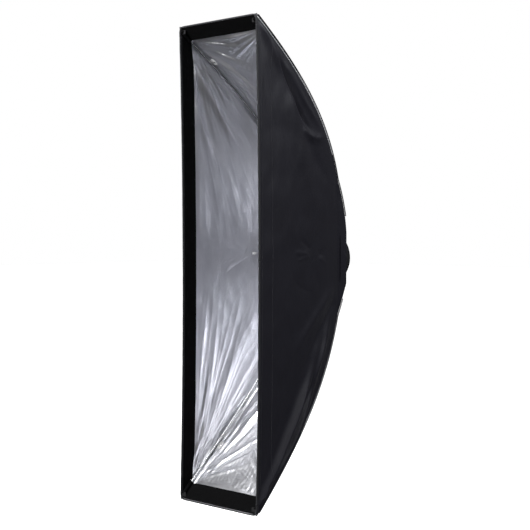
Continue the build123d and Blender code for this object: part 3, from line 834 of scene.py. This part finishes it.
PANEL_CREASES = {level: panel_creases(level) for level in LEVEL_NAME}


def end_grid(level, inset, side_gap, rows, columns, first=FIRST_T, last=LAST_T):
    """Points of a top or bottom panel, its chart, each row's direction out of it, and the share across it."""
    line = seam(level, np.linspace(first, last, rows), inset)
    s = np.linspace(-1, 1, columns)
    x = (half_width(line[:, 0]) - side_gap)[:, None] * s[None, :]
    behind = distances(line[::-1])[::-1]
    chart = np.stack(np.broadcast_arrays(x, behind[:, None]), axis=-1)
    plain = np.stack(np.broadcast_arrays(x, line[:, 0:1], line[:, 1:2]), axis=-1)
    return plain, chart, out_of_seam(line, level)[:, None, :], s


def end_relief(level, chart, s, length):
    """How far the panel's cloth stands out: drawn in between the rods, folded from the corners."""
    flat = chart.reshape(-1, 2)
    height = relief(flat, PANEL_CREASES[level]) + 0.0012 * ripple(flat, 0.07, 80 + level)
    height = height.reshape(chart.shape[:2])
    behind = chart[..., 1]
    across = 1 - s[None, :] ** 2
    height -= 0.007 * across * np.sin(np.pi * np.clip(behind / length, 0, 1))
    return height * off_sides(s) * smooth(behind / 0.03) * smooth((length - behind) / 0.06)


def off_sides(s):
    """Fades out towards a panel's two seams."""
    return smooth((1 - np.abs(s)) / 0.12)[None, :]


def end_ply(name, ply, level, plain, chart, direction, height):
    """A ply of a top or bottom panel, standing out by height from its plain curve."""
    node = f"{END_NAME[level]}_{ply}"
    points = plain + direction * height[..., None]
    name = f"{END_NAME[level]}_{name}"
    piece = cloth_piece(name, points, chart, MATERIALS[SLOT_OF[node]], THICKNESS[ply])
    stand_for(node)
    fold_with_rods(piece, level, end_panel=True)
    middle = distances(plain[:, plain.shape[1] // 2])
    declare_stretched((np.ptp(plain[..., 0]), middle[-1]))


def end_shell(level):
    """Outer nylon of a top or bottom panel."""
    plain, chart, direction, s = end_grid(level, INSET["panel"], 0.0016, rows=230, columns=64)
    height = end_relief(level, chart, s, chart[..., 1].max())
    end_ply("shell", "panel", level, plain, chart, direction, height)


def end_lining(level):
    """Silver lining of a top or bottom panel, streaked from the tape's two corners and crumpled."""
    plain, chart, direction, s = end_grid(level, INSET["lining"], 0.0038, rows=280, columns=84)
    flat = chart.reshape(-1, 2)
    share = np.linspace(0, 1 - FIRST_T, len(chart))
    behind = float(np.interp(1 - TAPE_END[level], share, chart[::-1, 0, 1]))
    corners = [np.array([side * HALF_WIDTH, behind]) for side in SIDE_NAME]
    rightwards = smooth(0.5 + flat[:, 0] / 0.16)
    crinkles = streaks(flat, corners, (0.7 * (1 - rightwards), 0.7 * rightwards), 65 + level)
    crinkles += 0.0006 * ridges(flat * (1.0, 0.22), 0.011, 75 + level, 3)
    crinkles = crinkles.reshape(chart.shape[:2])
    crinkles *= smooth((chart[..., 1] - behind) / 0.015) * off_sides(s)
    height = end_relief(level, chart, s, chart[..., 1].max()) - crinkles
    end_ply("silver", "lining", level, plain, chart, direction, height)


def end_tape(level):
    """Loop tape inside one end of the rim, on the panel's folds; it stops just short of the rim."""
    inset = INSET["tape"]
    plain, chart, direction, s = end_grid(level, inset, 0.0062, 34, 60, TAPE_END[level], 0.994)
    whole = seam(level, np.linspace(FIRST_T, LAST_T, 230), inset)
    height = end_relief(level, chart + (0.0, TAPE_SHORT), s, distances(whole)[-1])
    end_ply("loop_tape", "tape", level, plain, chart, direction, height)


# -------- rim binding

HEM_SECTION = rounded(HEM_T / 2, HEM_DEPTH / 2 + 0.0004, 2.6)


def rim_binding(name, node, x, z, out):
    """A run of the binding through (x, z) on the rim's arc."""
    path = np.stack([x, rim_y(z) + HEM_DEPTH / 2, z], axis=1)
    piece = swept(name, path, out, everywhere(path, (0, 1, 0)), HEM_SECTION, MATERIALS["hem_binding"])
    stand_for(node)
    return piece


def side_hem(side, level):
    """Binding of half a side edge, slightly wavy."""
    z = level * np.linspace(0, SIDE_HEM_END + level * MID_Z, 140)
    wave = 0.0004 * ripple(np.stack([z, z * 0 + side], axis=1), 0.03, 100 + side)
    name, node = f"side_hem_{half_name(side, level)}", f"hem_{SIDE_NAME[side]}"
    piece = rim_binding(name, node, side * (HEM_X + wave), z, everywhere(z, (side, 0, 0)))
    fold_with_rods(piece, level)


def end_hem(level):
    """Binding of one end of the rim, with both rounded corners: the right half, then its mirror image."""
    radius = CORNER_R - HEM_T / 2
    top = HALF_HEIGHT - HEM_T / 2
    rise = np.linspace(SIDE_HEM_END, top - radius, 8, endpoint=False)
    turn = np.linspace(0, math.pi / 2, 14)
    across = np.linspace(HEM_X - radius, radius - HEM_X, 60)[1:30]
    x = np.concatenate([np.full(8, HEM_X), HEM_X - radius + radius * np.cos(turn), across])
    z = np.concatenate([rise, top - radius + radius * np.sin(turn), np.full(29, top)])
    faces_up = np.concatenate([np.zeros(8), turn, np.full(29, math.pi / 2)])
    half = np.stack([x, z, np.cos(faces_up), np.sin(faces_up)], axis=1)
    x, z, out_x, out_z = np.concatenate([half, half[::-1] * (-1, 1, -1, 1)]).T
    out = np.stack([out_x, np.zeros_like(x), level * out_z], axis=1)
    name, node = f"{END_NAME[level]}_hem", f"hem_{END_NAME[level]}"
    piece = rim_binding(name, node, x, MID_Z + level * z, out)
    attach(piece, rod_body(-1, level))


# -------- corner seams


def seam_route(side, level):
    """Points along the outside of a corner seam, and the direction out of it."""
    outside = 0.0015
    line = seam(level, np.linspace(0.06, 0.985, 160), -outside)
    out = out_of_seam(line, level) + (side, 0, 0)
    return by_wall(side, line, outside), out / np.linalg.norm(out, axis=1)[:, None]


def cord_route(side, level):
    """The silver cord's line: on the wall beside an upper seam, on the end panel beside a lower one."""
    if level > 0:
        line = seam(level, np.linspace(0.30, 0.985, 150), 0.0050)
        outside = wall_relief(side, line[:, 0], line[:, 1]) + 0.0004
        return by_wall(side, line, outside), everywhere(line, (side, 0, 0))
    line = seam(level, np.linspace(0.24, 0.60, 100), -0.0006)
    return by_wall(side, line, -0.0010), out_of_seam(line, level)


def seam_edge(side, level):
    """Turned black seam allowance, and beside it the silver cord with its row of white stitches."""
    tag = TAG[side, level]
    path, out = seam_route(side, level)
    across = np.cross(headings(path), out)
    section = rounded(0.0016, 0.0014, 2.4, 10)
    fold = swept(f"seam_fold_{tag}", path, out, across, section, MATERIALS["black_nylon"])
    path, out = cord_route(side, level)
    across = np.cross(headings(path), out)
    section = rounded(0.0015, 0.0016, 2.0, 10)
    cord = swept(f"seam_cord_{tag}", path, out, across, section, MATERIALS["silver_piping"])
    stand_for(f"piping_{tag}")
    row = stitches(f"seam_stitches_{tag}", path + out * 0.0005, out, WHITE_THREAD, radius=0.0015)
    for piece in (fold, cord, row):
        fold_with_rods(piece, level, end_panel=True)


def rim_stitches(side, level):
    """Two rows of black stitches down a side wall, where the rim's tape is sewn on."""
    for number, depth in enumerate((0.014, 0.060)):
        z = level * np.linspace(0.004, SIDE_HEM_END - 0.030, 260)
        y = rim_y(z) + depth
        path = by_wall(side, np.stack([y, z], axis=1), wall_relief(side, y, z))
        out = everywhere(path, (side, 0, 0))
        name = f"rim_stitches_{half_name(side, level)}_{number}"
        row = stitches(name, path, out, BLACK_THREAD, long=0.0042, gap=0.0016, radius=0.0006)
        fold_with_rods(row, level)


# -------- collar and strap

SHOULDER_R = 0.0925
SLEEVE_R = STRAP_HIGH.z - 0.0030


def circle(turn, radius, y):
    """Points round the ring's axis."""
    return np.stack([np.cos(turn) * radius, np.full_like(turn, y), np.sin(turn) * radius], axis=1)


def collar_piece():
    """Cloth from the chamber's throat over its flat back to the ring, gathered under the strap."""
    turn = np.linspace(0, 2 * math.pi, 241)
    c, s = np.cos(turn), np.sin(turn)
    square = 2 / 6.0
    edge = np.stack([
        np.sign(c) * np.abs(c) ** square * 0.0936,
        -0.0308 - 0.034 * smooth((np.abs(c) - 0.78) / 0.15),
        np.sign(s) * np.abs(s) ** square * 0.1100,
    ], axis=1)
    shoulder = circle(turn, SHOULDER_R, -0.0296)
    sleeve = circle(turn, SLEEVE_R, -0.0270)
    hem = circle(turn, SLEEVE_R + 0.0004, -0.0125)
    rows = []
    for start, end, count in ((edge, shoulder, 16), (shoulder, sleeve, 6), (sleeve, hem, 12)):
        for k in np.linspace(0, 1, count, endpoint=False):
            rows.append(start + (end - start) * k)
    rows.append(hem)
    points = np.array(rows)
    share = np.linspace(0, 1, len(rows))[:, None]
    gather = 0.0007 * np.cos(26 * turn + 0.8 * np.sin(5 * turn))[None, :] * np.sin(np.pi * share)
    points[..., 0] += gather * c[None, :]
    points[..., 2] += gather * s[None, :]
    chart = np.stack(np.broadcast_arrays(turn[None, :] * RING_R, share * 0.09), axis=-1)
    piece = cloth_piece("collar_cloth", points, chart, MATERIALS["black_nylon"], 0.0010)
    stand_for("collar")
    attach(piece, "speedring")


def strap_piece():
    """Hook-and-loop strap round the sleeve, with a free end lapped over it."""
    turn = np.linspace(-0.15, 2 * math.pi + 0.30, 260)
    lap = smooth((turn - 2 * math.pi + 0.20) / 0.12)
    radius = STRAP_HIGH.z - 0.0011 + 0.0019 * lap
    path = circle(turn + 2.2, radius, (STRAP_LOW.y + STRAP_HIGH.y) / 2)
    section = rounded(0.0008, (STRAP_HIGH.y - STRAP_LOW.y) / 2, 5.0, 20)
    out = circle(turn + 2.2, 1.0, 0.0)
    piece = swept("ring_strap", path, out, everywhere(path, (0, 1, 0)), section, MATERIALS["strap"])
    stand_for("collar_strap")
    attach(piece, "speedring")


# -------- small sewn parts

RIGHT = np.array([1.0, 0, 0])
BACK = np.array([0, 1.0, 0])
UP = np.array([0, 0, 1.0])


def tab_piece(name, centre, across, along, out, size, material):
    """A small stitched tab with softly rounded ends, slightly domed."""
    u = np.linspace(-1, 1, 25)
    v = np.linspace(-1, 1, 31)
    width = size[0] / 2 * (1 - 0.25 * np.abs(v) ** 10)[:, None] * u[None, :]
    length = np.broadcast_to((size[1] / 2 * v)[:, None], width.shape)
    dome = 0.0008 * (1 - u[None, :] ** 2) * (1 - v[:, None] ** 4)
    points = centre + width[..., None] * across + length[..., None] * along + dome[..., None] * out
    chart = np.stack([width, length], axis=-1)
    return cloth_piece(name, points, chart, material, 0.0014)


# Half section of a press stud (radius, height)
STUD = [
    (0.0052, 0.0), (0.0052, 0.0006), (0.0046, 0.0011), (0.0026, 0.0012),
    (0.0021, 0.0017), (0.0019, 0.0026), (0.0008, 0.0030),
]


def snap_tab(side, level):
    """Webbing tab with a press stud, sewn to the lining by a corner seam."""
    line = seam(level, np.array([0.77, 0.78, 0.79]), 0.0048)
    along = np.array([0, *headings(line)[1]])
    out = -out_of_seam(line, level)[1]
    centre = by_wall(side, line, -0.024)[1] + out * 0.0012
    tag = TAG[side, level]
    tab = tab_piece(f"snap_tab_{tag}", centre, RIGHT, along, out, (0.016, 0.024), MATERIALS["webbing"])
    stud = turned(f"snap_stud_{tag}", centre + out * 0.0012, out, RIGHT, STUD, MATERIALS["steel"])
    for piece in (tab, stud):
        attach(piece, rod_body(-1, level))
    stand_for(f"{END_NAME[level]}_snap_tabs")


def rod_sleeve(side, level):
    """Black sleeve round a rod's last stretch, in the corner between the strips of tape."""
    line = seam(level, np.linspace(TAPE_END[level], 0.984, 24), 0.009)
    path = by_wall(side, line, -0.009)
    ahead = headings(path)
    out = np.cross(ahead, RIGHT)
    out /= np.linalg.norm(out, axis=1)[:, None]
    section = rounded(0.0060, 0.0055, 2.2, 20)
    name = f"rod_sleeve_{TAG[side, level]}"
    piece = swept(name, path, out, np.cross(out, ahead), section, MATERIALS["loop_tape"])
    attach(piece, rod_body(side, level))


def corner_pocket(side, level):
    """Folded black ribbon pocket that takes a rod's tip in the rim's corner."""
    node = f"{END_NAME[level]}_corner_pockets"
    low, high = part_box(node)
    centre = np.array([side * (high.x - 0.007), (low.y + high.y) / 2, (low.z + high.z) / 2])
    name = f"corner_pocket_{TAG[side, level]}"
    pocket = tab_piece(name, centre, RIGHT, UP, -BACK, (0.014, 0.013), MATERIALS["strap"])
    stand_for(node)
    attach(pocket, rod_body(-1, level))


def side_hook(side):
    """Small hook on a side lining: a sewn patch of webbing and a white hook bent round over it."""
    low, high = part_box("side_hooks")
    x, y, z = side * (high.x - 0.0022), (low.y + high.y) / 2, (low.z + high.z) / 2
    webbing = MATERIALS["webbing"]
    centre = np.array([x + side * 0.002, y, z])
    name = f"hook_loop_{SIDE_NAME[side]}"
    loop = tab_piece(name, centre, BACK, UP, -side * RIGHT, (0.016, 0.009), webbing)
    turn = np.linspace(0.0, 1.15 * math.pi, 40)
    hook_x = x - side * 0.0010 - side * 0.0042 * np.sin(turn)
    path = np.stack([hook_x, y - 0.0056 * np.cos(turn), np.full_like(turn, z)], axis=1)
    out = everywhere(path, UP)
    section = rounded(0.0016, 0.0016, 2.0, 12)
    across = np.cross(headings(path), out)
    hook = swept(f"hook_wire_{SIDE_NAME[side]}", path, out, across, section, webbing)
    for piece in (loop, hook):
        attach(piece, "speedring")
    stand_for("side_hooks")


# -------- stage, light and camera

WHITE = (1.0, 1.0, 1.0)
COOL = (0.92, 0.94, 1.0)
FLOOR_DROP = 0.35
FLOOR_REACH = 30.0
ROOM_STRENGTH = 0.08


def aimed(thing, place, target):
    """Puts a lamp or camera in its place, pointing at the target."""
    bpy.context.scene.collection.objects.link(thing)
    thing.location = place
    thing.rotation_mode = "QUATERNION"
    thing.rotation_quaternion = (Vector(target) - Vector(place)).to_track_quat("-Z", "Y")


def area_light(name, place, target, width, height, power, colour):
    lamp = bpy.data.lights.new(name, "AREA")
    lamp.shape = "RECTANGLE"
    lamp.size = width
    lamp.size_y = height
    lamp.energy = power
    lamp.color = colour
    aimed(bpy.data.objects.new(name, lamp), place, target)


def stage():
    """Plain pale floor below the hanging box, lit white by a lamp of its own and casting no light back."""
    floor_z = CAD_BOX[0].z - FLOOR_DROP
    border = [(-1, -1), (1, -1), (1, 1), (-1, 1)]
    points = [(x * FLOOR_REACH, y * FLOOR_REACH, floor_z) for x, y in border]
    pale = (0.86, 0.86, 0.86, 1)
    looks = {"Base_Color": pale, "Roughness": 0.9, "Specular_IOR_Level": 0.1}
    floor = new_object("floor", points, [(0, 1, 2, 3)], start_material("pale_floor", **looks)[0])
    floor.visible_diffuse = False
    floor.visible_glossy = False
    sun = bpy.data.lights.new("floor_sun", "SUN")
    sun.energy = 4.4
    sun.angle = 1.2
    lamp = bpy.data.objects.new("floor_sun", sun)
    bpy.context.scene.collection.objects.link(lamp)
    lit = bpy.data.collections.new("floor_only")
    lit.objects.link(floor)
    lamp.light_linking.receiver_collection = lit


def studio():
    """White beyond the set, a dim room in what the cloth reflects and is lit by."""
    world = bpy.data.worlds.new("studio")
    bpy.context.scene.world = world
    world.use_nodes = True
    tree = world.node_tree
    backdrop = tree.nodes["Background"]
    backdrop.inputs["Color"].default_value = (*WHITE, 1)
    room = add(tree, "ShaderNodeBackground", {"Color": (*WHITE, 1), "Strength": ROOM_STRENGTH})
    seen = add(tree, "ShaderNodeLightPath").outputs["Is Camera Ray"]
    both = add(tree, "ShaderNodeMixShader", {0: seen, 1: room.outputs[0], 2: backdrop.outputs[0]})
    tree.links.new(both.outputs[0], tree.nodes["World Output"].inputs["Surface"])


def lights():
    """Name, place, target, width, height, watts and colour of each lamp."""
    area_light("key", (2.0, 0.9, 1.9), (0.15, -0.3, 0.15), 1.1, 1.5, 44, COOL)
    area_light("front", (-0.2, -2.2, 2.2), (0.0, -0.3, -0.2), 1.6, 1.6, 112, WHITE)
    area_light("low", (-0.5, -3.2, -0.9), (0.05, -0.3, -0.3), 1.8, 2.0, 118, WHITE)
    area_light("side", (2.6, -1.6, 1.6), (0.15, -0.4, 0.3), 1.0, 1.6, 19, WHITE)
    area_light("fold", (2.6, -0.55, -0.95), (0.15, -0.3, -0.42), 0.22, 0.8, 11, COOL)


def camera():
    """The photograph's view: a little over 40 degrees round from the front, almost level."""
    azimuth, elevation, distance = math.radians(40.46), math.radians(1.62), 2.875
    target = Vector((HALF_WIDTH + 0.0326, FRONT_Y, MID_Z + 0.0051))
    back = Vector((
        math.sin(azimuth) * math.cos(elevation),
        -math.cos(azimuth) * math.cos(elevation),
        math.sin(elevation),
    ))
    data = bpy.data.cameras.new("camera")
    data.sensor_width = 36.0
    data.lens = 70.95
    data.clip_end = 100
    thing = bpy.data.objects.new("camera", data)
    aimed(thing, target + back * distance, target)
    bpy.context.scene.camera = thing
    bpy.context.scene.view_settings.view_transform = "Standard"


# -------- everything together


finish_frame_nodes()
for side in SIDE_NAME:
    for level in LEVEL_NAME:
        wall_shell(side, level)
        wall_lining(side, level)
        wall_tape(side, level)
        side_hem(side, level)
        seam_edge(side, level)
        rim_stitches(side, level)
        snap_tab(side, level)
        rod_sleeve(side, level)
        corner_pocket(side, level)
    side_hook(side)
for level in LEVEL_NAME:
    end_shell(level)
    end_lining(level)
    end_tape(level)
    end_hem(level)
collar_piece()
strap_piece()
stage()
studio()
lights()
camera()
